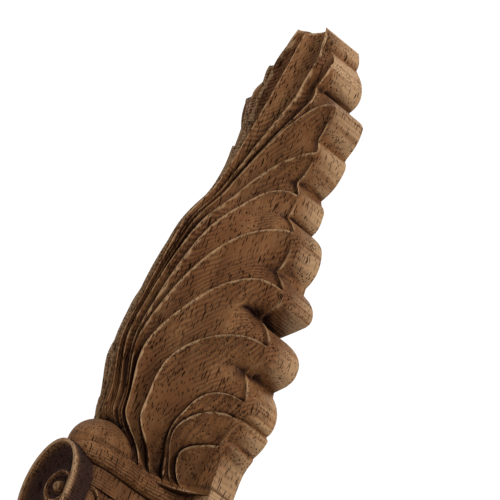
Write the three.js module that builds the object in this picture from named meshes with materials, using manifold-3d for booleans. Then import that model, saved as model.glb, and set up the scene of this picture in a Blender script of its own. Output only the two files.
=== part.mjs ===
// A carved wood applique: a tall acanthus leaf that rises from the banded capital of a column head.
// Millimetres, +Z up. The flat back lies on the plane y = 0 and the carving faces -y.
// The two halves mirror each other in the plane x = 0, apart from the volute and the height at
// which the upper lobes end.

import * as THREE from 'three';
import { mergeVertices } from 'three/addons/utils/BufferGeometryUtils.js';
import Module from 'manifold-3d';

const wasm = await Module();
wasm.setup();

// The leaf
const leafHeight = 131;
const leafHalfWidth = 27;
const leafDepth = 37;
const edgeThickness = 8.3;
const tipThickness = 12.8;
const leafSink = 1.5;
const leftRise = 3.5;
const rimBead = 0.4;
const grooveStep = 0.6;
const fullSizeLobe = 7;

// The capital, from its foot up
const abacusHeight = 8.5;
const coveHeight = 3;
const echinusHeight = 15.3;
const fasciaHeight = 5.4;
const torusHeight = 5.8;
const torusBulge = 1.9;
const abacusReach = 3.6;
const coveReach = 0.8;
const echinusReach = 1.6;
const echinusSetBack = 0.6;
const fasciaStep = 0.4;
const bandTopReach = 0.2;
const noseDepth = 35.6;
const noseFullness = 13.5;
const waistFullness = 1.8;
const waistDepth = 13;
const flareHalfWidth = 12.5;
const plateHalfWidth = 22;

// The rounded shoulder on the nose, in which the leaf stands
const shoulderHalfWidth = 6.6;
const shoulderHalfDepth = 10.4;
const shoulderRise = 8.2;
const shoulderSink = 9;
const shoulderDepth = 27.1;

// The eggs and darts on the echinus
const eggsPerSide = 3;
const eggMiddle = 0.56;
const eggHeight = 10.6;
const eggWidth = 6.2;
const eggRelief = 2.1;
const huskBorder = 1;
const huskRelief = 1.1;
const dartWidth = 1.6;
const firstEggFromNose = 8.2;
const eggPitch = 8.4;

// The volute on the nose
const voluteHalfWidth = 8.3;
const voluteHalfHeight = 13.2;
const voluteProjection = 4.4;
const voluteRootDepth = 2.2;
const voluteChannel = 2.6;
const voluteRimWidth = 0.9;
const voluteAboveAbacus = 0.6;
const eyeAside = 3.8;
const eyeRingRadius = 4.1;
const eyeRadius = 2;
const eyeHollow = 1.6;

const bandHeight = abacusHeight + coveHeight + echinusHeight + fasciaHeight + torusHeight;
const mountHeight = (bandHeight + leafHeight) / 2;

// The leaf's base body, from the band to the tip, as [share of its height, share of its size]
const depthProfile = [
  [0, 0.62], [0.025, 0.73], [0.055, 0.83], [0.13, 0.85], [0.22, 0.925], [0.32, 0.885],
  [0.42, 0.835], [0.51, 0.775], [0.6, 0.635], [0.78, 0.5], [1, 0.375],
];
const widthProfile = [
  [0, 0.79], [0.07, 0.8], [0.125, 0.93], [0.18, 0.965], [0.31, 0.99], [0.4, 0.92], [0.46, 0.84],
  [0.54, 0.725], [0.62, 0.55], [0.73, 0.6], [0.82, 0.63], [0.86, 0.51], [0.92, 0.395], [1, 0.17],
];
const roundness = 0.4;
const thickensFrom = 0.62;
const freeFromBand = 0.09;
const topRounding = 0.01;

// The rims of the lobes, from the spine outwards. A rim leaves the band at its foot, a share of the
// way from the spine to the edge, bends by its rise and its turn (share across, share up) and ends
// at its tip, a share of the height. The notch below the tip, at its own share of the height, cuts
// a share of the leaf's half width away. The dish is how deep the lobe under the rim is hollowed.
const rims = [
  { foot: 0, rise: [0, 0.33], turn: [0, 0.66], tip: 0.978, notch: 0.97, cut: 0, dish: 2.6 },
  { foot: 0.02, rise: [-0.015, 0.42], turn: [-0.085, 0.87], tip: 0.995, notch: 0.955, cut: 0.06, dish: 2.4 },
  { foot: 0.045, rise: [-0.04, 0.45], turn: [-0.015, 0.76], tip: 0.91, notch: 0.857, cut: 0.17, dish: 1.2 },
  { foot: 0.07, rise: [-0.045, 0.365], turn: [0, 0.85], tip: 0.82, notch: 0.752, cut: 0.065, dish: 1.6 },
  { foot: 0.1, rise: [-0.05, 0.335], turn: [-0.015, 0.69], tip: 0.728, notch: 0.66, cut: 0.13, dish: 1.8 },
  { foot: 0.15, rise: [0.01, 0.245], turn: [0.015, 0.675], tip: 0.63, notch: 0.585, cut: 0.12, dish: 1.6 },
  { foot: 0.2, rise: [-0.035, 0.24], turn: [0.16, 0.545], tip: 0.55, notch: 0.46, cut: 0.2, dish: 2 },
  { foot: 0.36, rise: [-0.2, 0.13], turn: [0.44, 0.51], tip: 0.405, notch: 0.365, cut: 0.4, dish: 2 },
  { foot: 0.55, rise: [-0.075, 0.09], turn: [0.49, 0.36], tip: 0.285, notch: 0.24, cut: 0.24, dish: 2 },
  { foot: 0.7, rise: [0.385, 0.065], turn: [0.55, 0.22], tip: 0.167, notch: 0.145, cut: 0.05, dish: 1.6 },
  { foot: 0.79, rise: [0.345, 0.07], turn: [0.65, 0.165], tip: 0.135, notch: 0.1, cut: 0.03, dish: 1.6 },
  { foot: 0.86, rise: [0.61, 0.045], turn: [0.61, 0.06], tip: 0.09, notch: 0.05, cut: 0, dish: 1 },
  { foot: 0.93, rise: [0.95, 0], turn: [0.97, 0], tip: 0, notch: 0, cut: 0, dish: 0 },
];
const lastFlute = 2;
const spoonCloses = 0.82;
const spoonClosed = 0.93;
const scallopSpread = 5;

// How fine the mesh is
const stepsAlongRim = 15;
const rowsAcrossLobe = [0, 0.12, 0.42, 0.72, 0.92];
const capitalColumns = 14;
const coveSteps = 2;
const echinusSteps = 4;
const torusSteps = 5;
const voluteSpokes = 36;
const voluteSteps = 12;
const roundSegments = 10;
const roundBands = 6;

function lerp(a, b, share) {
  return a + (b - a) * share;
}

function smooth(low, high, value) {
  const share = Math.min(Math.max((value - low) / (high - low), 0), 1);
  return share * share * (3 - 2 * share);
}

// A smooth curve through [place, value] pairs, read at one place.
function through(points, place) {
  const last = points.length - 1;
  if (place <= points[0][0]) return points[0][1];
  if (place >= points[last][0]) return points[last][1];
  let k = 0;
  while (points[k + 1][0] < place) k += 1;
  const slope = (i) => {
    const before = points[Math.max(i - 1, 0)];
    const after = points[Math.min(i + 1, last)];
    return (after[1] - before[1]) / (after[0] - before[0]);
  };
  const span = points[k + 1][0] - points[k][0];
  const s = (place - points[k][0]) / span;
  const rise = points[k + 1][1] - points[k][1];
  const leave = slope(k) * span - rise;
  const arrive = slope(k + 1) * span - rise;
  return points[k][1] + rise * s + s * (1 - s) * (leave * (1 - s) - arrive * s);
}

function bezier(a, b, c, d, s) {
  const r = 1 - s;
  return r * r * r * a + 3 * r * r * s * b + 3 * r * s * s * c + s * s * s * d;
}

// The capital's plan from its nose (share 0) to the back plate (share 1), grown outwards.
function capitalPlan(share, grow, nose = noseDepth, flare = flareHalfWidth + grow) {
  const x = bezier(0, noseFullness + grow, waistFullness + grow, flare, share);
  const y = -bezier(nose + grow, nose + grow, waistDepth, edgeThickness, share);
  return new THREE.Vector2(x, y);
}

// The leaf's level section: share 0 is the spine and share 1 the edge. Near the band it draws in
// to the plan of the capital.
function leafSection(share, up) {
  const width = leafHalfWidth * through(widthProfile, up);
  const depth = leafDepth * through(depthProfile, up);
  const edge = lerp(edgeThickness, tipThickness, smooth(thickensFrom, 1, up));
  const turn = share * Math.PI / 2;
  const x = width * lerp(share, Math.sin(turn), roundness);
  const y = -edge - (depth - edge) * lerp(1 - share, Math.cos(turn), roundness);
  const foot = capitalPlan(share, 0, leafDepth * depthProfile[0][1], width);
  const free = smooth(0, freeFromBand, up);
  return new THREE.Vector2(lerp(foot.x, x, free), lerp(foot.y, y, free));
}

// The leaf's half width at its scalloped outline.
function outline(up) {
  let k = 1;
  while (k < rims.length - 2 && rims[k + 1].tip > up) k += 1;
  const { tip, notch, cut } = rims[k];
  const next = rims[k + 1].tip;
  const above = Math.max(tip - up, 0) / (tip - notch);
  const below = Math.max(up - next, 0) / (notch - next);
  const bite = up > notch ? above ** 3 : below ** 2;
  return leafHalfWidth * (through(widthProfile, up) - cut * bite);
}

// The share of the way to the edge at which the section reaches the outline.
function shareAtOutline(up) {
  const wanted = outline(up);
  let low = 0;
  let high = 1;
  if (leafSection(1, up).x <= wanted) return 1;
  for (let i = 0; i < 30; i += 1) {
    const middle = (low + high) / 2;
    if (leafSection(middle, up).x < wanted) low = middle;
    else high = middle;
  }
  return high;
}

// The section drawn in to the scalloped outline, where it comes down to the edge as well.
function scallopedSection(share, up, reach) {
  const kept = share - (1 - reach) * Math.abs(share) ** scallopSpread;
  return new THREE.Vector2(leafSection(kept, up).x, leafSection(share, up).y);
}

// A point of a rim as [share across, share up]. The spine, rim 0, stays in the middle.
function rimPoint(k, along) {
  const { foot, rise, turn, tip } = rims[k];
  const across = bezier(foot, rise[0], turn[0], k === 0 ? 0 : 1, along);
  return [across, bezier(0, rise[1], turn[1], tip, along)];
}

// How deep the carving is across lobe k, from its rim (0) to just above the next rim (1). The
// flutes at the tip are even hollows. The other lobes lean, each over the one above it.
function carving(k, across) {
  const bead = rimBead * Math.exp(-((across / 0.08) ** 2));
  if (k <= lastFlute) return rims[k].dish * Math.sin(Math.PI * across) - bead;
  const spoon = rims[k].dish * Math.sin(Math.PI * across ** 0.8 * 0.62);
  return spoon + grooveStep * smooth(0.75, 0.92, across) - bead;
}

// A point of the carved leaf: lobe k, the share across it, the share along its rim.
function leafPoint(k, across, along) {
  const upper = rimPoint(k, along);
  const lower = rimPoint(Math.min(k + 1, rims.length - 1), along);
  const share = lerp(upper[0], lower[0], across);
  const crown = k === 0 ? topRounding * Math.sin(Math.PI * across) * smooth(0.8, 1, along) : 0;
  const up = lerp(upper[1], lower[1], across) + crown;
  const reach = k === 0 ? 1 : shareAtOutline(up);
  const place = scallopedSection(share, up, reach);
  const ahead = scallopedSection(share + 0.01, up, reach);
  const behind = scallopedSection(share - 0.01, up, reach);
  const inwards = new THREE.Vector2(behind.y - ahead.y, ahead.x - behind.x).normalize();
  inwards.lerp(new THREE.Vector2(0, 1), smooth(0.75, 0.98, share)).normalize();
  if (share === 0) inwards.set(0, 1);
  const wide = Math.hypot((lower[0] - upper[0]) * leafHalfWidth * 1.3, (lower[1] - upper[1]) * leafHeight);
  const open = k <= lastFlute ? 1 : 1 - smooth(spoonCloses, spoonClosed, share);
  const strength = Math.min(wide / fullSizeLobe, 1) * smooth(0, 0.1, along) * smooth(0, 0.02, up);
  place.addScaledVector(inwards, carving(k, across) * strength * open);
  const sink = leafSink * (1 - smooth(0, 0.05, up));
  return new THREE.Vector3(share === 0 ? 0 : place.x, place.y, bandHeight + up * leafHeight - sink);
}

function toSolid(geometry) {
  const bare = geometry.clone();
  bare.deleteAttribute('normal');
  bare.deleteAttribute('uv');
  const merged = mergeVertices(bare, 1e-5);
  const vertProperties = new Float32Array(merged.attributes.position.array);
  const triVerts = new Uint32Array(merged.index.array);
  return new wasm.Manifold(new wasm.Mesh({ numProp: 3, vertProperties, triVerts }));
}

function solidFromPoints(points, triangles) {
  const geometry = new THREE.BufferGeometry().setFromPoints(points);
  geometry.setIndex(triangles);
  return toSolid(geometry);
}

// A closed solid from a carved front sheet: columns of points from left to right, each from the
// bottom up. Straight walls run back from the sheet's border to the flat back at y = 0.
function solidFromSheet(columns) {
  const points = columns.flat();
  const high = columns[0].length;
  const last = columns.length - 1;
  const at = (i, j) => i * high + j;
  const triangles = [];
  const border = [];
  for (let i = 0; i < last; i += 1) {
    for (let j = 0; j + 1 < high; j += 1) {
      triangles.push(at(i, j), at(i + 1, j), at(i, j + 1));
      triangles.push(at(i + 1, j), at(i + 1, j + 1), at(i, j + 1));
    }
  }
  for (let i = 0; i < last; i += 1) border.push(at(i, 0));
  for (let j = 0; j + 1 < high; j += 1) border.push(at(last, j));
  for (let i = last; i > 0; i -= 1) border.push(at(i, high - 1));
  for (let j = high - 1; j > 0; j -= 1) border.push(at(0, j));
  const firstBack = points.length;
  const contour = border.map((index) => new THREE.Vector2(points[index].x, points[index].z));
  contour.forEach((p) => points.push(new THREE.Vector3(p.x, 0, p.y)));
  border.forEach((a, i) => {
    const next = (i + 1) % border.length;
    triangles.push(border[next], a, firstBack + i);
    triangles.push(border[next], firstBack + i, firstBack + next);
  });
  for (const [a, b, c] of THREE.ShapeUtils.triangulateShape(contour, [])) {
    const turn = contour[b].clone().sub(contour[a]).cross(contour[c].clone().sub(contour[a]));
    const face = turn > 0 ? [a, c, b] : [a, b, c];
    triangles.push(...face.map((index) => firstBack + index));
  }
  return solidFromPoints(points, triangles);
}

function mirrored(point) {
  return new THREE.Vector3(-point.x, point.y, point.z);
}

// The left half's upper lobes end a little higher than the right half's.
function raised(point) {
  const up = (point.z - bandHeight) / leafHeight;
  const aside = Math.abs(point.x) / leafHalfWidth;
  const lift = leftRise * smooth(0.4, 0.6, up) * (1 - smooth(0.84, 0.96, up)) * smooth(0.1, 0.5, aside);
  return new THREE.Vector3(point.x, point.y, point.z + lift);
}

function leaf() {
  const half = [];
  rims.forEach((rim, k) => {
    const rows = k + 1 < rims.length ? rowsAcrossLobe : [0];
    for (const across of rows) {
      const row = [];
      for (let j = 0; j <= stepsAlongRim; j += 1) row.push(leafPoint(k, across, j / stepsAlongRim));
      half.push(row);
    }
  });
  const left = half.slice(1).reverse().map((row) => row.map(mirrored).map(raised));
  return solidFromSheet([...left, ...half]);
}

// The capital's mouldings from the foot up, as [height, reach beyond the plan].
function capitalProfile() {
  const coveTop = abacusHeight + coveHeight;
  const echinusTop = coveTop + echinusHeight;
  const torusFoot = echinusTop + fasciaHeight;
  const profile = [[0, abacusReach], [abacusHeight, abacusReach]];
  for (let i = 1; i <= coveSteps; i += 1) {
    const turn = Math.PI / 2 * i / coveSteps;
    const height = abacusHeight + coveHeight * (1 - Math.cos(turn));
    profile.push([height, lerp(abacusReach, coveReach, Math.sin(turn))]);
  }
  for (let i = 1; i <= echinusSteps; i += 1) {
    const share = i / echinusSteps;
    const reach = echinusReach * Math.sqrt(1 - share * share) - echinusSetBack;
    profile.push([coveTop + echinusHeight * share, reach]);
  }
  profile.push([echinusTop + fasciaStep, bandTopReach], [torusFoot, 0]);
  for (let i = 1; i <= torusSteps; i += 1) {
    const turn = Math.PI * i / (torusSteps + 1);
    const height = torusFoot + torusHeight * (1 - Math.cos(turn)) / 2;
    profile.push([height, torusBulge * Math.sin(turn)]);
  }
  profile.push([bandHeight, bandTopReach]);
  return profile;
}

function capital() {
  const profile = capitalProfile();
  const half = [];
  for (let i = 0; i <= capitalColumns; i += 1) {
    half.push(profile.map(([height, reach]) => {
      const place = capitalPlan(i / capitalColumns, reach);
      return new THREE.Vector3(place.x, place.y, height);
    }));
  }
  half.push(profile.map(([height]) => new THREE.Vector3(plateHalfWidth, -edgeThickness, height)));
  const left = half.slice(1).reverse().map((column) => column.map(mirrored));
  return solidFromSheet([...left, ...half]);
}

function shoulder() {
  const halfHeight = (shoulderRise + shoulderSink) / 2;
  const round = new THREE.SphereGeometry(1, 2 * roundSegments, 2 * roundBands).rotateX(Math.PI / 2);
  round.scale(shoulderHalfWidth, shoulderHalfDepth, halfHeight);
  round.translate(0, -shoulderDepth, bandHeight + shoulderRise - halfHeight);
  return toSolid(round);
}

// A place on the echinus at a distance from the nose along its plan, with the way it faces.
function onEchinus(distance) {
  const steps = 200;
  let travelled = 0;
  let place = capitalPlan(0, 0);
  let facing = new THREE.Vector2(0, -1);
  for (let i = 1; i <= steps && travelled < distance; i += 1) {
    const next = capitalPlan(i / steps, 0);
    const way = next.clone().sub(place);
    travelled += way.length();
    facing = new THREE.Vector2(-way.y, way.x).negate().normalize();
    place = next;
  }
  return { place, facing };
}

// A rounded or pointed form half sunk in the echinus.
function formOnEchinus(shape, distance, width, height, relief, side) {
  const { place, facing } = onEchinus(distance);
  const form = new THREE.Object3D();
  const middle = abacusHeight + coveHeight + echinusHeight * eggMiddle;
  form.position.set(side * place.x, place.y, middle);
  form.rotation.z = Math.atan2(facing.x * side, -facing.y);
  form.scale.set(width / 2, relief, height / 2);
  form.updateMatrix();
  return toSolid(shape.clone().applyMatrix4(form.matrix));
}

function eggsAndDarts() {
  const round = new THREE.SphereGeometry(1, roundSegments, roundBands).rotateX(Math.PI / 2);
  const pointed = new THREE.OctahedronGeometry(1);
  const forms = [];
  for (const side of [-1, 1]) {
    for (let i = 0; i < eggsPerSide; i += 1) {
      const distance = firstEggFromNose + i * eggPitch;
      const husk = [eggWidth + 2 * huskBorder, eggHeight + 2 * huskBorder, echinusReach + huskRelief];
      forms.push(formOnEchinus(round, distance, ...husk, side));
      forms.push(formOnEchinus(round, distance, eggWidth, eggHeight, echinusReach + eggRelief, side));
      const between = distance + eggPitch / 2;
      forms.push(formOnEchinus(pointed, between, dartWidth, eggHeight, echinusReach + huskRelief, side));
    }
  }
  return forms;
}

// A spot on the volute's face as [distance from the eye, how far it lies behind the rim]. Zones 0
// to 1 are the eye and its ring, 1 to 2 the channel and 2 to 3 the rim.
function voluteSpot(zone, turn) {
  const across = (Math.cos(turn) / voluteHalfWidth) ** 2 + (Math.sin(turn) / voluteHalfHeight) ** 2;
  const aside = eyeAside * Math.cos(turn) / voluteHalfWidth ** 2;
  const outside = 1 - (eyeAside / voluteHalfWidth) ** 2;
  const edge = (Math.sqrt(aside ** 2 + across * outside) - aside) / across;
  const rim = edge - voluteRimWidth;
  const ring = Math.min(eyeRingRadius, rim - voluteRimWidth / 4);
  if (zone > 2) return [lerp(rim, edge, zone - 2), 0];
  if (zone > 1) {
    const deep = voluteChannel * Math.min((rim - ring) / eyeRingRadius, 1);
    return [lerp(ring, rim, zone - 1), deep * Math.abs(Math.sin(Math.PI * (zone - 1))) ** 0.7];
  }
  const beside = Math.max((ring * zone - eyeRadius / 2) / (ring - eyeRadius / 2), 0);
  return [ring * zone, eyeHollow * Math.sin(Math.PI * beside)];
}

function volute() {
  const middle = abacusHeight + voluteAboveAbacus + voluteHalfHeight;
  const face = noseDepth + voluteProjection;
  const root = noseDepth - voluteRootDepth;
  const points = [new THREE.Vector3(eyeAside, -face, middle)];
  const triangles = [];
  for (let ring = 1; ring <= voluteSteps + 1; ring += 1) {
    const zone = 3 * Math.min(ring, voluteSteps) / voluteSteps;
    for (let i = 0; i < voluteSpokes; i += 1) {
      const turn = 2 * Math.PI * i / voluteSpokes;
      const [radius, recess] = voluteSpot(zone, turn);
      const y = ring > voluteSteps ? -root : recess - face;
      points.push(new THREE.Vector3(eyeAside + radius * Math.cos(turn), y, middle + radius * Math.sin(turn)));
    }
  }
  points.push(new THREE.Vector3(eyeAside, -root, middle));
  const at = (ring, i) => 1 + (ring - 1) * voluteSpokes + (i % voluteSpokes);
  for (let i = 0; i < voluteSpokes; i += 1) {
    triangles.push(0, at(1, i), at(1, i + 1));
    for (let ring = 1; ring <= voluteSteps; ring += 1) {
      triangles.push(at(ring, i), at(ring + 1, i), at(ring + 1, i + 1));
      triangles.push(at(ring, i), at(ring + 1, i + 1), at(ring, i + 1));
    }
    triangles.push(points.length - 1, at(voluteSteps + 1, i + 1), at(voluteSteps + 1, i));
  }
  return solidFromPoints(points, triangles);
}

function carvedGeometry() {
  const whole = wasm.Manifold.union([leaf(), capital(), shoulder(), ...eggsAndDarts(), volute()]);
  const { vertProperties, triVerts } = whole.getMesh();
  const geometry = new THREE.BufferGeometry();
  geometry.setAttribute('position', new THREE.BufferAttribute(vertProperties, 3));
  geometry.setIndex(new THREE.BufferAttribute(triVerts, 1));
  geometry.translate(0, 0, -mountHeight);
  geometry.computeVertexNormals();
  return geometry;
}

const wood = new THREE.MeshStandardMaterial({ color: 0x8a6446, roughness: 0.8, metalness: 0 });
const applique = new THREE.Mesh(carvedGeometry(), wood);
applique.name = 'carved_applique';

const group = new THREE.Group();
group.add(applique);

export default group;
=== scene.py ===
import math

import bmesh
import bpy
import numpy as np
from mathutils import Matrix, Vector
from mathutils.bvhtree import BVHTree


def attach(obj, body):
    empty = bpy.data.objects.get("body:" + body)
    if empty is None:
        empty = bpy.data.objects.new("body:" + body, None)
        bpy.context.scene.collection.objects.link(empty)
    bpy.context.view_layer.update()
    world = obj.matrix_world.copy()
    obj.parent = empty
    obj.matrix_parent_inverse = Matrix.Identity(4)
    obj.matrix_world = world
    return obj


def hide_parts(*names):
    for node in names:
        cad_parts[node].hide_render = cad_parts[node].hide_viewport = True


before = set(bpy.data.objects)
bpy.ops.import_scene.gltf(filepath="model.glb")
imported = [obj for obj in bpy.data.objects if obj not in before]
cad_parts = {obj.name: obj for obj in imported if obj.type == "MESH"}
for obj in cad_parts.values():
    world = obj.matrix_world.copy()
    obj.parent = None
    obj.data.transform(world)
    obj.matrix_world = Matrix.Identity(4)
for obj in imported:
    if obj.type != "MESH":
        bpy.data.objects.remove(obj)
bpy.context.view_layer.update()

# A carved wood applique: an acanthus leaf on the capital of a column head.
# Lengths are millimetres here and are turned into metres when a mesh is made.

MM = 0.001
NODE = "carved_applique"

# The leaf
LEAF_HEIGHT = 131.0
LEAF_HALF_WIDTH = 27.0
LEAF_DEPTH = 37.0
EDGE_THICKNESS = 8.3
TIP_THICKNESS = 12.8
LEAF_SINK = 1.5
LEFT_RISE = 3.5
FULL_SIZE_LOBE = 7.0
RIM_BEAD = 0.4
RIM_BEAD_WIDTH = 0.55
GROOVE_DEPTH = 0.9
GROOVE_WIDTH = 0.8

# The capital, from its foot up
ABACUS_HEIGHT = 8.5
COVE_HEIGHT = 3.0
ECHINUS_HEIGHT = 15.3
FASCIA_HEIGHT = 5.4
TORUS_HEIGHT = 5.8
TORUS_BULGE = 1.9
ABACUS_REACH = 3.6
COVE_REACH = 0.8
ECHINUS_REACH = 1.6
ECHINUS_SET_BACK = 0.6
FASCIA_STEP = 0.1
FASCIA_REACH = 0.2
FASCIA_TOP_REACH = 0.05
QUIRK_HEIGHT = 0.5
QUIRK_REACH = -0.25
FILLET_HEIGHT = 0.5
FILLET_GAP = 0.1
FILLET_REACH = 0.1
BAND_TOP_REACH = 0.2
NOSE_DEPTH = 35.6
NOSE_FULLNESS = 13.5
WAIST_FULLNESS = 1.8
WAIST_DEPTH = 13.0
FLARE_HALF_WIDTH = 12.5
PLATE_HALF_WIDTH = 22.0
SHOULDER_HALF_WIDTH = 6.6
SHOULDER_HALF_DEPTH = 10.4
SHOULDER_RISE = 8.2
SHOULDER_SINK = 9.0
SHOULDER_DEPTH = 27.1

# The eggs and darts: the eggs' middle is a share of the echinus's height
EGGS_PER_SIDE = 3
EGG_HEIGHT = 10.6
EGG_WIDTH = 6.2
EGG_MIDDLE = 0.56
EGG_RELIEF = 2.1
HUSK_GAP = 0.9
HUSK_RELIEF = 1.1
HUSK_SHARPNESS = 0.12
DART_WIDTH = 1.6
FIRST_EGG_FROM_NOSE = 8.2
EGG_PITCH = 8.4
EGG_FADE_FOOT = 1.0
EGG_FADE_TOP = 0.3

# The volute
VOLUTE_HALF_WIDTH = 8.3
VOLUTE_HALF_HEIGHT = 13.2
VOLUTE_PROJECTION = 4.4
VOLUTE_ROOT_DEPTH = 2.2
VOLUTE_CHANNEL = 2.6
VOLUTE_RIM_WIDTH = 0.9
EYE_ASIDE = 3.8
EYE_RING_RADIUS = 4.1
EYE_RADIUS = 2.0
EYE_HOLLOW = 1.6
VOLUTE_ABOVE_ABACUS = 0.6
NARROWEST_CHANNEL = 0.2
CHANNEL_SQUARENESS = 0.7

# How fine the meshes are
COVE_STEPS = 6
ECHINUS_STEPS = 40
TORUS_STEPS = 14
CAPITAL_COLUMNS = 150
SHOULDER_SEGMENTS = 120
SHOULDER_BANDS = 80
VOLUTE_SPOKES = 144
VOLUTE_RINGS = 44
OUTLINE_HALVINGS = 26
SHARP_ANGLE = 38

# The plain forms that the relief is measured against: their voxel and their rounds of smoothing
RIM_VOXEL = 0.6
RIM_ROUNDS = 6
FORM_VOXEL = 1.0
FORM_ROUNDS = 110
SMOOTHING = 0.5

# Painted shade on the volute: it darkens by how far a point lies behind its face
VOLUTE_MARGIN = 0.1
VOLUTE_SHADE = 0.2

# The wood's colours, as linear red, green and blue
WOOD_LIGHT = (0.185, 0.086, 0.031)
WOOD_DARK = (0.092, 0.038, 0.011)
WOOD_RED = (0.105, 0.033, 0.007)
# Dark colour of the milling marks and of the painted shade in hollows and grooves
WOOD_MARKS_AND_SHADE = (0.016, 0.003, 0.0005)
# Light colour of the rims: partly wear, partly painted highlight
WOOD_WEAR_AND_HIGHLIGHT = (0.34, 0.21, 0.11)
PORE = (0.004, 0.0012, 0.0005)

# The grain: how fine each pattern is across it, per mm, how far it is stretched along it, and the
# range in which it takes effect
FIGURE_SCALE = 0.22
FIGURE_STRETCH = 0.05
FIGURE_RANGE = (0.3, 0.7)
FIBRE_SCALE = 2.6
FIBRE_STRETCH = 0.09
FIBRE_ROUGHNESS = 0.7
FIBRE_RANGE = (0.42, 0.64)
FIBRE_SHARE = 0.7
GRAIN_DETAIL = 3.0
BLOTCH_SCALE = 0.05
BLOTCH_RANGE = (0.35, 0.7)
BLOTCH_SHARE = 0.5

# The pores, which crowd together in places
LONG_PORE_SCALE = 1.9
LONG_PORE_STRETCH = 0.055
SHORT_PORE_SCALE = 2.3
SHORT_PORE_STRETCH = 0.12
PORE_RANGE = (0.28, 0.42)
PORE_SHARE = 0.94
CROWDING_SCALE = 0.35
CROWDING = 0.3

# The milling marks: their step, their slant on the leaf in degrees, and where they show
MILLING_STEP = 0.74
MILLING_SLANT = 60
MILLING_SHARE = 0.42
FAINT_MARKS = 0.2
SLANT_FADE = 1
WANDER_SCALE = 0.12
WANDER = 1.6
MILLED_SCALE = 0.09
MILLED_RANGE = (0.36, 0.58)

# The relief at which painted shade darkens a hollow or a groove and a rim is lightened by wear and
# painted highlight, and how much
HOLLOW_SHADE_RELIEF = (-0.05, -2.4)
HOLLOW_SHADE_SHARE = 0.93
GROOVE_SHADE_RELIEF = (-0.05, -0.4)
GROOVE_SHADE_SHARE = 0.85
WEAR_AND_HIGHLIGHT_RELIEF = (0.06, 0.4)
WEAR_AND_HIGHLIGHT_SHARE = 0.7

# The wood's sheen, and the strength and height of its bumps
SHEEN = 0.16
ROUGH_FIBRE = (0.2, 0.8)
ROUGHNESS_RANGE = (0.62, 0.82)
MILLING_BUMP = (0.8, 0.12 * MM)
FIBRE_BUMP = (0.7, 0.16 * MM)
PORE_BUMP = (0.9, 0.35 * MM)

# The camera, which looks up from below as in the photo: its right, its up and what it frames
CAMERA_RIGHT = Vector((0.702, 0.629, 0.334))
CAMERA_UP = Vector((0.034, -0.4985, 0.866))
CAMERA_LENS = 600
SENSOR_WIDTH = 36
NEAREST_VIEW = 0.01
VIEW_CENTRE = (0, -6.05, 23.4)
VIEW_WIDTH = 125

# The floor and the lights, in metres. Each light: its name, the side it comes from, its distance,
# size, power and colour
FLOOR_HEIGHT = -1.6
FLOOR_WIDTH = 30
FLOOR_COLOUR = (0.86, 0.86, 0.85)
FLOOR_ROUGHNESS = 0.9
WORLD_COLOUR = (1, 1, 1)
WORLD_STRENGTH = 1.05
LIGHTS = [
    ("key", (0.8, 0, 0.6), 0.9, 0.25, 5.5, (1, 0.96, 0.9)),
    ("top", (-0.25, 0.1, 1), 1.0, 0.25, 4, (1, 1, 1)),
]

BAND_HEIGHT = ABACUS_HEIGHT + COVE_HEIGHT + ECHINUS_HEIGHT + FASCIA_HEIGHT + TORUS_HEIGHT
MOUNT_HEIGHT = (BAND_HEIGHT + LEAF_HEIGHT) / 2
COVE_TOP = ABACUS_HEIGHT + COVE_HEIGHT
ECHINUS_TOP = COVE_TOP + ECHINUS_HEIGHT
TORUS_FOOT = ECHINUS_TOP + FASCIA_HEIGHT
VOLUTE_MIDDLE = ABACUS_HEIGHT + VOLUTE_ABOVE_ABACUS + VOLUTE_HALF_HEIGHT

# The leaf's depth and half width up its height, all as shares
DEPTH_PROFILE = [
    (0, 0.62), (0.025, 0.73), (0.055, 0.83), (0.13, 0.85), (0.22, 0.925), (0.32, 0.885),
    (0.42, 0.835), (0.51, 0.775), (0.6, 0.635), (0.78, 0.5), (1, 0.375),
]
WIDTH_PROFILE = [
    (0, 0.79), (0.07, 0.8), (0.125, 0.93), (0.18, 0.965), (0.31, 0.99), (0.4, 0.92), (0.46, 0.84),
    (0.54, 0.725), (0.62, 0.55), (0.73, 0.6), (0.82, 0.63), (0.86, 0.51), (0.92, 0.395), (1, 0.17),
]
ROUNDNESS = 0.4
THICKENS_FROM = 0.62
FREE_FROM_BAND = 0.09
SINK_SPAN = 0.05
SCALLOP_SPREAD = 5
NOTCH_ABOVE = 3
NOTCH_BELOW = 2
TOP_ROUNDING = 0.0095
TOP_ROUNDING_FROM = 0.8
LEFT_RISE_STARTS = (0.4, 0.6)
LEFT_RISE_ENDS = (0.84, 0.96)
LEFT_RISE_ASIDE = (0.1, 0.5)

# Where the carving of a lobe starts, turns straight back and closes, and the form of its spoon
CARVING_STARTS_ALONG = 0.1
CARVING_STARTS_UP = 0.02
STRAIGHT_CUT = (0.75, 0.98)
SPOON_CLOSES = (0.86, 0.93)
SPOON_SKEW = 0.8
SPOON_SPAN = 0.62
SECTION_STEP = 0.01
ARC_PER_WIDTH = 1.3

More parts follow.
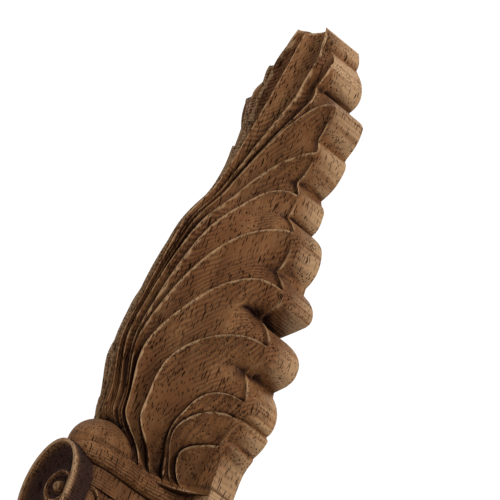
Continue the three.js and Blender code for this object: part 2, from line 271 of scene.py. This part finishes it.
# Each rim: foot, rise, turn, tip, notch, cut and dish, as shares of the leaf but for the dish.
RIMS = [
    (0, (0, 0.33), (0, 0.66), 0.978, 0.97, 0, 2.6),
    (0.02, (-0.015, 0.42), (-0.085, 0.87), 0.995, 0.955, 0.06, 2.4),
    (0.045, (-0.04, 0.45), (-0.015, 0.76), 0.91, 0.857, 0.17, 1.2),
    (0.07, (-0.045, 0.365), (0, 0.85), 0.82, 0.752, 0.065, 1.6),
    (0.1, (-0.05, 0.335), (-0.015, 0.69), 0.728, 0.66, 0.13, 1.8),
    (0.15, (0.01, 0.245), (0.015, 0.675), 0.63, 0.585, 0.12, 1.6),
    (0.2, (-0.035, 0.24), (0.16, 0.545), 0.55, 0.46, 0.2, 2),
    (0.36, (-0.2, 0.13), (0.44, 0.51), 0.405, 0.365, 0.4, 2),
    (0.55, (-0.075, 0.09), (0.49, 0.36), 0.285, 0.24, 0.24, 2),
    (0.7, (0.385, 0.065), (0.55, 0.22), 0.167, 0.145, 0.05, 1.6),
    (0.79, (0.345, 0.07), (0.65, 0.165), 0.135, 0.1, 0.03, 1.6),
    (0.86, (0.61, 0.045), (0.61, 0.06), 0.09, 0.05, 0, 1),
    (0.93, (0.95, 0), (0.97, 0), 0, 0, 0, 0),
]
LAST_FLUTE = 2

# The leaf's mesh: its rows across a lobe lie closest together beside the two rims
STEPS_ALONG_RIM = 120
ROWS_ACROSS_LOBE = [
    0, 0.02, 0.045, 0.08, 0.125, 0.18, 0.26, 0.36, 0.46, 0.56, 0.66, 0.76, 0.84, 0.9, 0.945, 0.975,
]


def lerp(a, b, share):
    return a + (b - a) * share


def smooth(low, high, value):
    share = np.clip((value - low) / (high - low), 0, 1)
    return share * share * (3 - 2 * share)


def through(points, place):
    """A smooth curve through (place, value) pairs, read at an array of places."""
    at = np.array([p[0] for p in points], float)
    value = np.array([p[1] for p in points], float)
    before = np.maximum(np.arange(len(at)) - 1, 0)
    after = np.minimum(np.arange(len(at)) + 1, len(at) - 1)
    slope = (value[after] - value[before]) / (at[after] - at[before])
    place = np.clip(place, at[0], at[-1])
    k = np.clip(np.searchsorted(at, place, side="left") - 1, 0, len(at) - 2)
    span = at[k + 1] - at[k]
    s = (place - at[k]) / span
    rise = value[k + 1] - value[k]
    leave = slope[k] * span - rise
    arrive = slope[k + 1] * span - rise
    return value[k] + rise * s + s * (1 - s) * (leave * (1 - s) - arrive * s)


def bezier(a, b, c, d, s):
    r = 1 - s
    return r * r * r * a + 3 * r * r * s * b + 3 * r * s * s * c + s * s * s * d


def capital_plan(share, grow, nose=NOSE_DEPTH, flare=None):
    """The capital's plan from its nose (share 0) to the back plate (share 1)."""
    flare = FLARE_HALF_WIDTH + grow if flare is None else flare
    x = bezier(0, NOSE_FULLNESS + grow, WAIST_FULLNESS + grow, flare, share)
    y = -bezier(nose + grow, nose + grow, WAIST_DEPTH, EDGE_THICKNESS, share)
    return x, y


def leaf_section(share, up):
    """The leaf's level section: share 0 is the spine and share 1 the edge."""
    width = LEAF_HALF_WIDTH * through(WIDTH_PROFILE, up)
    depth = LEAF_DEPTH * through(DEPTH_PROFILE, up)
    edge = lerp(EDGE_THICKNESS, TIP_THICKNESS, smooth(THICKENS_FROM, 1, up))
    turn = share * math.pi / 2
    x = width * lerp(share, np.sin(turn), ROUNDNESS)
    y = -edge - (depth - edge) * lerp(1 - share, np.cos(turn), ROUNDNESS)
    foot_x, foot_y = capital_plan(share, 0, LEAF_DEPTH * DEPTH_PROFILE[0][1], width)
    free = smooth(0, FREE_FROM_BAND, up)
    return lerp(foot_x, x, free), lerp(foot_y, y, free)


def outline(up):
    """The leaf's half width at its scalloped outline."""
    cut = np.zeros_like(up)
    for k in range(1, len(RIMS) - 1):
        tip, notch, bite = RIMS[k][3:6]
        following = RIMS[k + 1][3]
        inside = (up <= tip) & (up > following)
        above = np.clip(tip - up, 0, None) / (tip - notch)
        below = np.clip(up - following, 0, None) / (notch - following)
        curve = np.where(up > notch, above ** NOTCH_ABOVE, below ** NOTCH_BELOW)
        cut = np.where(inside, bite * curve, cut)
    return LEAF_HALF_WIDTH * (through(WIDTH_PROFILE, up) - cut)


def share_at_outline(up):
    """The share at which the level section meets the outline, found by halving."""
    wanted = outline(up)
    low = np.zeros_like(up)
    high = np.ones_like(up)
    for _ in range(OUTLINE_HALVINGS):
        middle = (low + high) / 2
        inside = leaf_section(middle, up)[0] < wanted
        low = np.where(inside, middle, low)
        high = np.where(inside, high, middle)
    return high


def scalloped_section(share, up, reach):
    """The section drawn in to the scalloped outline, where it comes down to the edge as well."""
    kept = share - (1 - reach) * np.abs(share) ** SCALLOP_SPREAD
    return leaf_section(kept, up)[0], leaf_section(share, up)[1]


def rim_point(k, along):
    foot, rise, turn, tip = RIMS[k][:4]
    across = bezier(foot, rise[0], turn[0], 0 if k == 0 else 1, along)
    return across, bezier(0, rise[1], turn[1], tip, along)


def carving(k, across, wide):
    """How deep the carving is across lobe k, from its rim (0) to just above the next rim (1)."""
    from_rim = across * wide
    to_next = (1 - across) * wide
    bead = RIM_BEAD * np.exp(-((from_rim / RIM_BEAD_WIDTH) ** 2))
    dish = RIMS[k][6]
    if k <= LAST_FLUTE:
        bead += RIM_BEAD * np.exp(-((to_next / RIM_BEAD_WIDTH) ** 2))
        return dish * np.sin(math.pi * across) - bead
    spoon = dish * np.sin(math.pi * across ** SPOON_SKEW * SPOON_SPAN)
    groove = GROOVE_DEPTH * np.exp(-((to_next / GROOVE_WIDTH) ** 2))
    return spoon + groove - bead


def leaf_row(k, across, along):
    """One row of points of the carved leaf, on lobe k, from the band out to the edge."""
    upper = rim_point(k, along)
    lower = rim_point(min(k + 1, len(RIMS) - 1), along)
    share = lerp(upper[0], lower[0], across)
    up = lerp(upper[1], lower[1], across)
    if k == 0:
        up = up + TOP_ROUNDING * math.sin(math.pi * across) * smooth(TOP_ROUNDING_FROM, 1, along)
    reach = np.ones_like(up) if k == 0 else share_at_outline(up)
    x, y = scalloped_section(share, up, reach)
    ahead = scalloped_section(share + SECTION_STEP, up, reach)
    behind = scalloped_section(share - SECTION_STEP, up, reach)
    inwards = np.stack([behind[1] - ahead[1], ahead[0] - behind[0]])
    inwards /= np.linalg.norm(inwards, axis=0)
    level = smooth(*STRAIGHT_CUT, share)
    inwards = np.stack([lerp(inwards[0], 0, level), lerp(inwards[1], 1, level)])
    inwards /= np.linalg.norm(inwards, axis=0)
    sideways = (lower[0] - upper[0]) * LEAF_HALF_WIDTH * ARC_PER_WIDTH
    wide = np.hypot(sideways, (lower[1] - upper[1]) * LEAF_HEIGHT)
    strength = np.clip(wide / FULL_SIZE_LOBE, 0, 1)
    strength = strength * smooth(0, CARVING_STARTS_ALONG, along) * smooth(0, CARVING_STARTS_UP, up)
    if k > LAST_FLUTE:
        strength = strength * (1 - smooth(*SPOON_CLOSES, share))
    depth = carving(k, across, wide) * strength
    middle = share < 1e-9
    x = np.where(middle, 0, x + inwards[0] * depth)
    y = np.where(middle, y + depth, y + inwards[1] * depth)
    sink = LEAF_SINK * (1 - smooth(0, SINK_SPAN, up))
    return np.stack([x, y, BAND_HEIGHT + up * LEAF_HEIGHT - sink], axis=1)


def new_mesh(name, points, faces):
    mesh = bpy.data.meshes.new(name)
    points = (np.asarray(points, float) - (0, 0, MOUNT_HEIGHT)) * MM
    mesh.from_pydata(points.tolist(), [], faces)
    mesh.validate()
    made = bpy.data.objects.new(name, mesh)
    bpy.context.scene.collection.objects.link(made)
    return made


def object_from_sheet(name, columns):
    """A closed mesh from a carved front sheet: columns of points from left to right, each from
    the bottom up, with straight walls back to the flat back at y = 0."""
    columns = np.asarray(columns)
    wide, high = columns.shape[:2]
    points = columns.reshape(-1, 3)
    at = np.arange(wide * high).reshape(wide, high)
    quads = np.stack([at[:-1, :-1], at[1:, :-1], at[1:, 1:], at[:-1, 1:]], axis=-1).reshape(-1, 4)
    faces = []
    for a, b, c, d in quads.tolist():
        faces += [(a, b, d), (b, c, d)]
    border = [*at[:-1, 0], *at[-1, :-1], *at[1:, -1][::-1], *at[0, 1:][::-1]]
    first_back = len(points)
    back = points[border] * (1, 0, 1)
    count = len(border)
    for i, a in enumerate(border):
        following = (i + 1) % count
        faces.append((border[following], a, first_back + i))
        faces.append((border[following], first_back + i, first_back + following))
    faces.append([first_back + i for i in reversed(range(count))])
    return new_mesh(name, np.vstack([points, back]), faces)


def mirrored(columns):
    return [column * (-1, 1, 1) for column in columns]


def raised(row):
    """The left half's upper lobes end a little higher than the right half's."""
    up = (row[:, 2] - BAND_HEIGHT) / LEAF_HEIGHT
    aside = np.abs(row[:, 0]) / LEAF_HALF_WIDTH
    between = smooth(*LEFT_RISE_STARTS, up) * (1 - smooth(*LEFT_RISE_ENDS, up))
    lift = LEFT_RISE * between * smooth(*LEFT_RISE_ASIDE, aside)
    return row + np.stack([lift * 0, lift * 0, lift], axis=1)


def make_leaf():
    """The whole leaf: the right half's rows, and their mirror image with its upper lobes raised."""
    along = np.linspace(0, 1, STEPS_ALONG_RIM + 1)
    half = []
    for k in range(len(RIMS)):
        rows = ROWS_ACROSS_LOBE if k + 1 < len(RIMS) else [0]
        for across in rows:
            half.append(leaf_row(k, across, along))
    left = [raised(row) for row in mirrored(half[:0:-1])]
    return object_from_sheet("leaf", left + half)


def half_round(low, high, bulge, steps):
    """A half round from one height to another, as (height, reach) pairs without its ends."""
    turns = [math.pi * i / (steps + 1) for i in range(1, steps + 1)]
    return [(lerp(low, high, (1 - math.cos(turn)) / 2), bulge * math.sin(turn)) for turn in turns]


def capital_profile():
    """The capital's mouldings from the foot up, as (height, reach beyond the plan)."""
    profile = [(0, ABACUS_REACH), (ABACUS_HEIGHT / 2, ABACUS_REACH), (ABACUS_HEIGHT, ABACUS_REACH)]
    for i in range(1, COVE_STEPS + 1):
        turn = math.pi / 2 * i / COVE_STEPS
        height = ABACUS_HEIGHT + COVE_HEIGHT * (1 - math.cos(turn))
        profile.append((height, lerp(ABACUS_REACH, COVE_REACH, math.sin(turn))))
    for i in range(1, ECHINUS_STEPS + 1):
        share = i / ECHINUS_STEPS
        reach = ECHINUS_REACH * math.sqrt(1 - share * share) - ECHINUS_SET_BACK
        profile.append((COVE_TOP + ECHINUS_HEIGHT * share, reach))
    profile.append((ECHINUS_TOP + FASCIA_STEP, FASCIA_REACH))
    profile += [(TORUS_FOOT - QUIRK_HEIGHT, FASCIA_TOP_REACH), (TORUS_FOOT, QUIRK_REACH)]
    fillet_foot = BAND_HEIGHT - FILLET_HEIGHT
    profile += half_round(TORUS_FOOT, fillet_foot - FILLET_GAP, TORUS_BULGE, TORUS_STEPS)
    profile += [(fillet_foot, FILLET_REACH), (BAND_HEIGHT, BAND_TOP_REACH)]
    return profile


def egg_relief(distance, height):
    """The eggs, husks and darts on the echinus, at a distance from the nose along the plan."""
    relief = np.zeros_like(distance + height)
    middle = COVE_TOP + ECHINUS_HEIGHT * EGG_MIDDLE
    for i in range(EGGS_PER_SIDE):
        beside = distance - FIRST_EGG_FROM_NOSE - i * EGG_PITCH
        above = height - middle
        radius = np.hypot(beside / (EGG_WIDTH / 2), above / (EGG_HEIGHT / 2))
        egg = EGG_RELIEF * np.sqrt(np.clip(1 - radius ** 2, 0, 1))
        husk_radius = np.hypot(beside / (EGG_WIDTH / 2 + HUSK_GAP), above / (EGG_HEIGHT / 2 + HUSK_GAP))
        husk = HUSK_RELIEF * np.exp(-(((husk_radius - 1) / HUSK_SHARPNESS) ** 2))
        relief = np.maximum(relief, np.maximum(egg, husk))
        to_dart = np.abs(beside - EGG_PITCH / 2) / (DART_WIDTH / 2) + np.abs(above) / (EGG_HEIGHT / 2)
        relief = np.maximum(relief, HUSK_RELIEF * np.clip(1 - to_dart, 0, 1))
    return relief


def make_capital():
    """The capital: its mouldings and its eggs, followed along the plan, and the back plate."""
    profile = np.array(capital_profile())
    shares = np.linspace(0, 1, CAPITAL_COLUMNS + 1)
    plan = np.stack(capital_plan(shares, 0), axis=1)
    distances = np.concatenate([[0], np.cumsum(np.linalg.norm(np.diff(plan, axis=0), axis=1))])
    heights = profile[:, 0]
    on_echinus = smooth(COVE_TOP, COVE_TOP + EGG_FADE_FOOT, heights)
    on_echinus = on_echinus * (1 - smooth(ECHINUS_TOP - EGG_FADE_TOP, ECHINUS_TOP, heights))
    half = []
    for share, distance in zip(shares, distances):
        reach = profile[:, 1] + egg_relief(distance, heights) * on_echinus
        x, y = capital_plan(share, reach)
        half.append(np.stack([x, y, heights], axis=1))
    plate = np.stack([heights * 0 + PLATE_HALF_WIDTH, heights * 0 - EDGE_THICKNESS, heights], axis=1)
    half.append(plate)
    return object_from_sheet("capital", mirrored(half[:0:-1]) + half)


def volute_spot(zone, turn):
    """A spot on the volute's face: its distance from the eye and how far it lies behind the rim.

    Zones 0 to 1 are the eye and its ring, 1 to 2 the channel and 2 to 3 the rim."""
    across = (np.cos(turn) / VOLUTE_HALF_WIDTH) ** 2 + (np.sin(turn) / VOLUTE_HALF_HEIGHT) ** 2
    aside = EYE_ASIDE * np.cos(turn) / VOLUTE_HALF_WIDTH ** 2
    outside = 1 - (EYE_ASIDE / VOLUTE_HALF_WIDTH) ** 2
    edge = (np.sqrt(aside ** 2 + across * outside) - aside) / across
    rim = edge - VOLUTE_RIM_WIDTH
    ring = np.minimum(EYE_RING_RADIUS, rim - NARROWEST_CHANNEL)
    wide = rim - ring
    if zone <= 1:
        radius = ring * zone
        beside = np.clip((radius - EYE_RADIUS / 2) / (ring - EYE_RADIUS / 2), 0, 1)
        return radius, EYE_HOLLOW * np.sin(math.pi * beside)
    if zone <= 2:
        deep = VOLUTE_CHANNEL * np.clip(wide / EYE_RING_RADIUS, 0, 1)
        return lerp(ring, rim, zone - 1), deep * math.sin(math.pi * (zone - 1)) ** CHANNEL_SQUARENESS
    return lerp(rim, edge, zone - 2), turn * 0


def make_volute():
    """The volute: rings of points about its eye, from its face back to its root in the nose."""
    middle = VOLUTE_MIDDLE
    face = NOSE_DEPTH + VOLUTE_PROJECTION
    root = NOSE_DEPTH - VOLUTE_ROOT_DEPTH
    turns = 2 * np.pi * np.arange(VOLUTE_SPOKES) / VOLUTE_SPOKES
    rings = [(zone, None) for zone in np.linspace(0, 3, VOLUTE_RINGS + 1)[1:]] + [(3, root)]
    points = [(EYE_ASIDE, -face, middle)]
    for zone, depth in rings:
        radius, recess = volute_spot(zone, turns)
        x = EYE_ASIDE + radius * np.cos(turns)
        z = middle + radius * np.sin(turns)
        y = recess - face if depth is None else turns * 0 - depth
        points += np.stack([x, y, z], axis=1).tolist()
    points.append((EYE_ASIDE, -root, middle))

    def at(ring, i):
        return 1 + ring * VOLUTE_SPOKES + i % VOLUTE_SPOKES

    faces = []
    for i in range(VOLUTE_SPOKES):
        faces.append((0, at(0, i), at(0, i + 1)))
        for ring in range(len(rings) - 1):
            faces.append((at(ring, i), at(ring + 1, i), at(ring + 1, i + 1)))
            faces.append((at(ring, i), at(ring + 1, i + 1), at(ring, i + 1)))
        faces.append((len(points) - 1, at(len(rings) - 1, i + 1), at(len(rings) - 1, i)))
    return new_mesh("volute", points, faces)


def make_shoulder():
    """The rounded shoulder on the nose, in which the leaf stands."""
    made = bmesh.new()
    bmesh.ops.create_uvsphere(made, u_segments=SHOULDER_SEGMENTS, v_segments=SHOULDER_BANDS, radius=1)
    points = np.array([vertex.co for vertex in made.verts])
    faces = [[vertex.index for vertex in face.verts] for face in made.faces]
    made.free()
    half_height = (SHOULDER_RISE + SHOULDER_SINK) / 2
    middle = BAND_HEIGHT + SHOULDER_RISE - half_height
    sizes = (SHOULDER_HALF_WIDTH, SHOULDER_HALF_DEPTH, half_height)
    return new_mesh("shoulder", points * sizes + (0, -SHOULDER_DEPTH, middle), faces)


def applied(made):
    """Turns an object's modifiers into its mesh."""
    evaluated = made.evaluated_get(bpy.context.evaluated_depsgraph_get())
    mesh = bpy.data.meshes.new_from_object(evaluated)
    made.modifiers.clear()
    made.data = mesh
    return made


def join(base, *others):
    """Joins closed meshes into one closed mesh."""
    for other in others:
        union = base.modifiers.new("join", "BOOLEAN")
        union.operation = "UNION"
        union.solver = "MANIFOLD"
        union.object = other
    applied(base)
    for other in others:
        bpy.data.objects.remove(other)
    return base


def relief_from(made, voxel, rounds):
    """How far each point stands proud of the same form with its carving smoothed away, in mm."""
    plain = made.copy()
    plain.data = made.data.copy()
    bpy.context.scene.collection.objects.link(plain)
    remesh = plain.modifiers.new("remesh", "REMESH")
    remesh.mode = "VOXEL"
    remesh.voxel_size = voxel * MM
    rounding = plain.modifiers.new("smooth", "SMOOTH")
    rounding.factor = SMOOTHING
    rounding.iterations = rounds
    tree = BVHTree.FromObject(plain, bpy.context.evaluated_depsgraph_get())
    relief = np.zeros(len(made.data.vertices))
    for i, vertex in enumerate(made.data.vertices):
        near, normal, _, _ = tree.find_nearest(vertex.co)
        relief[i] = (vertex.co - near).dot(normal) / MM
    bpy.data.objects.remove(plain)
    return relief


def behind_volute_face(made):
    """How far each point of the volute lies behind its face, in mm."""
    points = np.array([vertex.co for vertex in made.data.vertices]) / MM + (0, 0, MOUNT_HEIGHT)
    aside = points[:, 0] / (VOLUTE_HALF_WIDTH + VOLUTE_MARGIN)
    above = (points[:, 2] - VOLUTE_MIDDLE) / (VOLUTE_HALF_HEIGHT + VOLUTE_MARGIN)
    in_front = points[:, 1] < VOLUTE_ROOT_DEPTH + VOLUTE_MARGIN - NOSE_DEPTH
    behind = points[:, 1] + NOSE_DEPTH + VOLUTE_PROJECTION
    return np.where((aside ** 2 + above ** 2 < 1) & in_front, behind, 0)


def keep_relief(made, name, relief):
    layer = made.data.attributes.new(name, "FLOAT", "POINT")
    layer.data.foreach_set("value", relief.astype(np.float32))


class Shader:
    """Short ways to add and link the nodes of one material."""

    def __init__(self, name):
        self.material = bpy.data.materials.new(name)
        self.material.use_nodes = True
        self.tree = self.material.node_tree
        self.bsdf = self.tree.nodes["Principled BSDF"]

    def node(self, kind, **settings):
        made = self.tree.nodes.new(kind)
        for name, value in settings.items():
            setattr(made, name, value)
        return made

    def set(self, socket, value):
        if isinstance(value, bpy.types.NodeSocket):
            self.tree.links.new(value, socket)
        else:
            socket.default_value = value

    def math(self, operation, a, b=0.0, c=0.0):
        made = self.node("ShaderNodeMath", operation=operation)
        for socket, value in zip(made.inputs, (a, b, c)):
            self.set(socket, value)
        return made.outputs[0]

    def stretched(self, vector, scale):
        made = self.node("ShaderNodeVectorMath", operation="MULTIPLY")
        self.set(made.inputs[0], vector)
        made.inputs[1].default_value = scale
        return made.outputs[0]

    def noise(self, vector, scale, detail=2.0, roughness=0.5):
        made = self.node("ShaderNodeTexNoise")
        self.set(made.inputs["Vector"], vector)
        made.inputs["Scale"].default_value = scale
        made.inputs["Detail"].default_value = detail
        made.inputs["Roughness"].default_value = roughness
        return made.outputs["Fac"]

    def cells(self, vector, scale):
        """The distance to the nearest of many scattered points."""
        made = self.node("ShaderNodeTexVoronoi")
        self.set(made.inputs["Vector"], vector)
        made.inputs["Scale"].default_value = scale
        return made.outputs["Distance"]

    def ramp(self, value, low, high, start=0.0, end=1.0):
        made = self.node("ShaderNodeMapRange", interpolation_type="SMOOTHSTEP")
        for socket, given in zip(made.inputs, (value, low, high, start, end)):
            self.set(socket, given)
        return made.outputs[0]

    def mix(self, share, a, b):
        made = self.node("ShaderNodeMix", data_type="RGBA")
        self.set(made.inputs["Factor"], share)
        for name, value in (("A", a), ("B", b)):
            socket = [s for s in made.inputs if s.name == name and s.type == "RGBA"][0]
            self.set(socket, (*value, 1.0) if isinstance(value, tuple) else value)
        return [s for s in made.outputs if s.type == "RGBA"][0]

    def attribute(self, name):
        return self.node("ShaderNodeAttribute", attribute_name=name).outputs["Fac"]

    def bump(self, height, strength, distance, normal=None):
        made = self.node("ShaderNodeBump")
        made.inputs["Strength"].default_value = strength
        made.inputs["Distance"].default_value = distance
        self.set(made.inputs["Height"], height)
        if normal is not None:
            self.set(made.inputs["Normal"], normal)
        return made.outputs["Normal"]


def pores_in(s, mm):
    """The open pores: 0 in a pore and 1 beside it."""
    crowding = s.math("MULTIPLY", s.noise(mm, CROWDING_SCALE), CROWDING)
    long_pores = s.cells(s.stretched(mm, (1, 1, LONG_PORE_STRETCH)), LONG_PORE_SCALE)
    short_pores = s.cells(s.stretched(mm, (1, 1, SHORT_PORE_STRETCH)), SHORT_PORE_SCALE)
    beside_long = s.ramp(s.math("ADD", long_pores, crowding), *PORE_RANGE)
    beside_short = s.ramp(s.math("ADD", short_pores, crowding), *PORE_RANGE)
    return s.math("MINIMUM", beside_long, beside_short)


def milling_in(s, mm):
    """A wave across the milling marks, which slant on the leaf and lie level on the capital."""
    place = s.node("ShaderNodeSeparateXYZ")
    s.set(place.inputs[0], mm)
    height = place.outputs["Z"]
    slant = math.radians(MILLING_SLANT)
    slanted = s.math("MULTIPLY", place.outputs["X"], math.sin(slant))
    slanted = s.math("MULTIPLY_ADD", height, -math.cos(slant), slanted)
    band_top = BAND_HEIGHT - MOUNT_HEIGHT
    on_leaf = s.ramp(height, band_top, band_top + SLANT_FADE)
    track = s.math("MULTIPLY_ADD", s.math("SUBTRACT", slanted, height), on_leaf, height)
    track = s.math("MULTIPLY_ADD", s.noise(mm, WANDER_SCALE), WANDER, track)
    return s.math("SINE", s.math("MULTIPLY", track, 2 * math.pi / MILLING_STEP))


def carved_wood():
    """Raw brown wood with its grain and open pores along Z and milling marks, with painted shade
    darkening hollows and grooves and rims lightened by wear and painted highlight.
    """
    s = Shader("carved wood")
    metres = s.node("ShaderNodeTexCoord").outputs["Object"]
    mm = s.stretched(metres, (1 / MM, 1 / MM, 1 / MM))

    figure = s.noise(s.stretched(mm, (1, 1, FIGURE_STRETCH)), FIGURE_SCALE, GRAIN_DETAIL)
    fibre = s.noise(s.stretched(mm, (1, 1, FIBRE_STRETCH)), FIBRE_SCALE, GRAIN_DETAIL, FIBRE_ROUGHNESS)
    blotch = s.noise(mm, BLOTCH_SCALE)
    pores = pores_in(s, mm)
    hatch = milling_in(s, mm)
    milled = s.ramp(s.noise(mm, MILLED_SCALE, 1.0), *MILLED_RANGE)
    marks = s.math("MULTIPLY", s.ramp(hatch, -1, 1, 0, MILLING_SHARE), milled)
    in_pore = s.math("SUBTRACT", PORE_SHARE, s.math("MULTIPLY", pores, PORE_SHARE))
    fine = s.attribute("rim")
    broad = s.attribute("form")

    colour = s.mix(s.ramp(figure, *FIGURE_RANGE), WOOD_DARK, WOOD_LIGHT)
    colour = s.mix(s.ramp(blotch, *BLOTCH_RANGE, 0, BLOTCH_SHARE), colour, WOOD_RED)
    colour = s.mix(s.ramp(fibre, *FIBRE_RANGE, 0, FIBRE_SHARE), colour, WOOD_RED)
    colour = s.mix(marks, colour, WOOD_MARKS_AND_SHADE)
    # Painted shade: hollows and grooves darken by their relief
    colour = s.mix(s.ramp(broad, *HOLLOW_SHADE_RELIEF, 0, HOLLOW_SHADE_SHARE), colour, WOOD_MARKS_AND_SHADE)
    colour = s.mix(s.ramp(fine, *GROOVE_SHADE_RELIEF, 0, GROOVE_SHADE_SHARE), colour, WOOD_MARKS_AND_SHADE)
    # Rims lighten by their relief: partly wear, partly painted highlight
    colour = s.mix(s.ramp(fine, *WEAR_AND_HIGHLIGHT_RELIEF, 0, WEAR_AND_HIGHLIGHT_SHARE), colour, WOOD_WEAR_AND_HIGHLIGHT)
    s.set(s.bsdf.inputs["Base Color"], s.mix(in_pore, colour, PORE))

    s.set(s.bsdf.inputs["Roughness"], s.ramp(fibre, *ROUGH_FIBRE, *ROUGHNESS_RANGE))
    s.set(s.bsdf.inputs["Specular IOR Level"], s.math("MULTIPLY", pores, SHEEN))
    cut_in = s.math("MULTIPLY_ADD", milled, 1 - FAINT_MARKS, FAINT_MARKS)
    ridges = s.math("MULTIPLY", hatch, cut_in)
    normal = s.bump(ridges, *MILLING_BUMP)
    normal = s.bump(fibre, *FIBRE_BUMP, normal)
    normal = s.bump(pores, *PORE_BUMP, normal)
    s.set(s.bsdf.inputs["Normal"], normal)
    return s.material


def plain_material(name, colour, roughness):
    s = Shader(name)
    s.bsdf.inputs["Base Color"].default_value = (*colour, 1)
    s.bsdf.inputs["Roughness"].default_value = roughness
    return s.material


def make_stage():
    """A wide pale floor well below the part, which hangs by its back."""
    edge = FLOOR_WIDTH / 2
    mesh = bpy.data.meshes.new("floor")
    corners = [(-edge, -edge, 0), (edge, -edge, 0), (edge, edge, 0), (-edge, edge, 0)]
    mesh.from_pydata([(x, y, FLOOR_HEIGHT) for x, y, _ in corners], [], [(0, 1, 2, 3)])
    floor = bpy.data.objects.new("floor", mesh)
    floor.data.materials.append(plain_material("pale floor", FLOOR_COLOUR, FLOOR_ROUGHNESS))
    bpy.context.scene.collection.objects.link(floor)
    world = bpy.data.worlds.new("studio")
    world.use_nodes = True
    background = world.node_tree.nodes["Background"]
    background.inputs["Color"].default_value = (*WORLD_COLOUR, 1)
    background.inputs["Strength"].default_value = WORLD_STRENGTH
    bpy.context.scene.world = world
    bpy.context.scene.view_settings.view_transform = "Standard"


def facing(direction, up):
    """A turn that points -Z along a direction, with +Y as near to up as it can be."""
    back = -Vector(direction).normalized()
    right = Vector(up).cross(back).normalized()
    return Matrix((right, back.cross(right), back)).transposed()


def add_light(name, towards, distance, size, power, colour):
    light = bpy.data.lights.new(name, "AREA")
    light.shape = "DISK"
    light.size = size
    light.energy = power
    light.color = colour
    made = bpy.data.objects.new(name, light)
    place = Vector(towards).normalized()
    made.matrix_world = Matrix.Translation(place * distance) @ facing(-place, (0, 0, 1)).to_4x4()
    bpy.context.scene.collection.objects.link(made)


def add_camera():
    """The camera, as far off as makes the view VIEW_WIDTH wide at its centre."""
    camera = bpy.data.cameras.new("camera")
    camera.sensor_width = SENSOR_WIDTH
    camera.lens = CAMERA_LENS
    camera.clip_start = NEAREST_VIEW
    made = bpy.data.objects.new("camera", camera)
    right = CAMERA_RIGHT.normalized()
    up = (CAMERA_UP - right * CAMERA_UP.dot(right)).normalized()
    back = right.cross(up)
    turn = Matrix((right, up, back)).transposed().to_4x4()
    width = VIEW_WIDTH * MM
    distance = width / 2 / math.tan(math.atan(camera.sensor_width / 2 / camera.lens))
    made.matrix_world = Matrix.Translation(Vector(VIEW_CENTRE) * MM + back * distance) @ turn
    bpy.context.scene.collection.objects.link(made)
    bpy.context.scene.camera = made


add_camera()
make_stage()
for light in LIGHTS:
    add_light(*light)

applique = join(make_leaf(), make_capital(), make_shoulder(), make_volute())
applique.name = "applique"
# Painted shade on the volute: points farther behind its face get lower relief values, which darken its
# channel and side wall
behind = behind_volute_face(applique)
# The relief values drive the painted shade in hollows and grooves and the rims' wear and painted
# highlight
rim = relief_from(applique, RIM_VOXEL, RIM_ROUNDS)
form = relief_from(applique, FORM_VOXEL, FORM_ROUNDS)
keep_relief(applique, "rim", rim - VOLUTE_SHADE * behind)
keep_relief(applique, "form", np.minimum(form, -behind))
applique.data.shade_smooth()
applique.data.set_sharp_from_angle(angle=math.radians(SHARP_ANGLE))
applique.data.materials.clear()
applique.data.materials.append(carved_wood())
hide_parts(NODE)
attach(applique, "root")
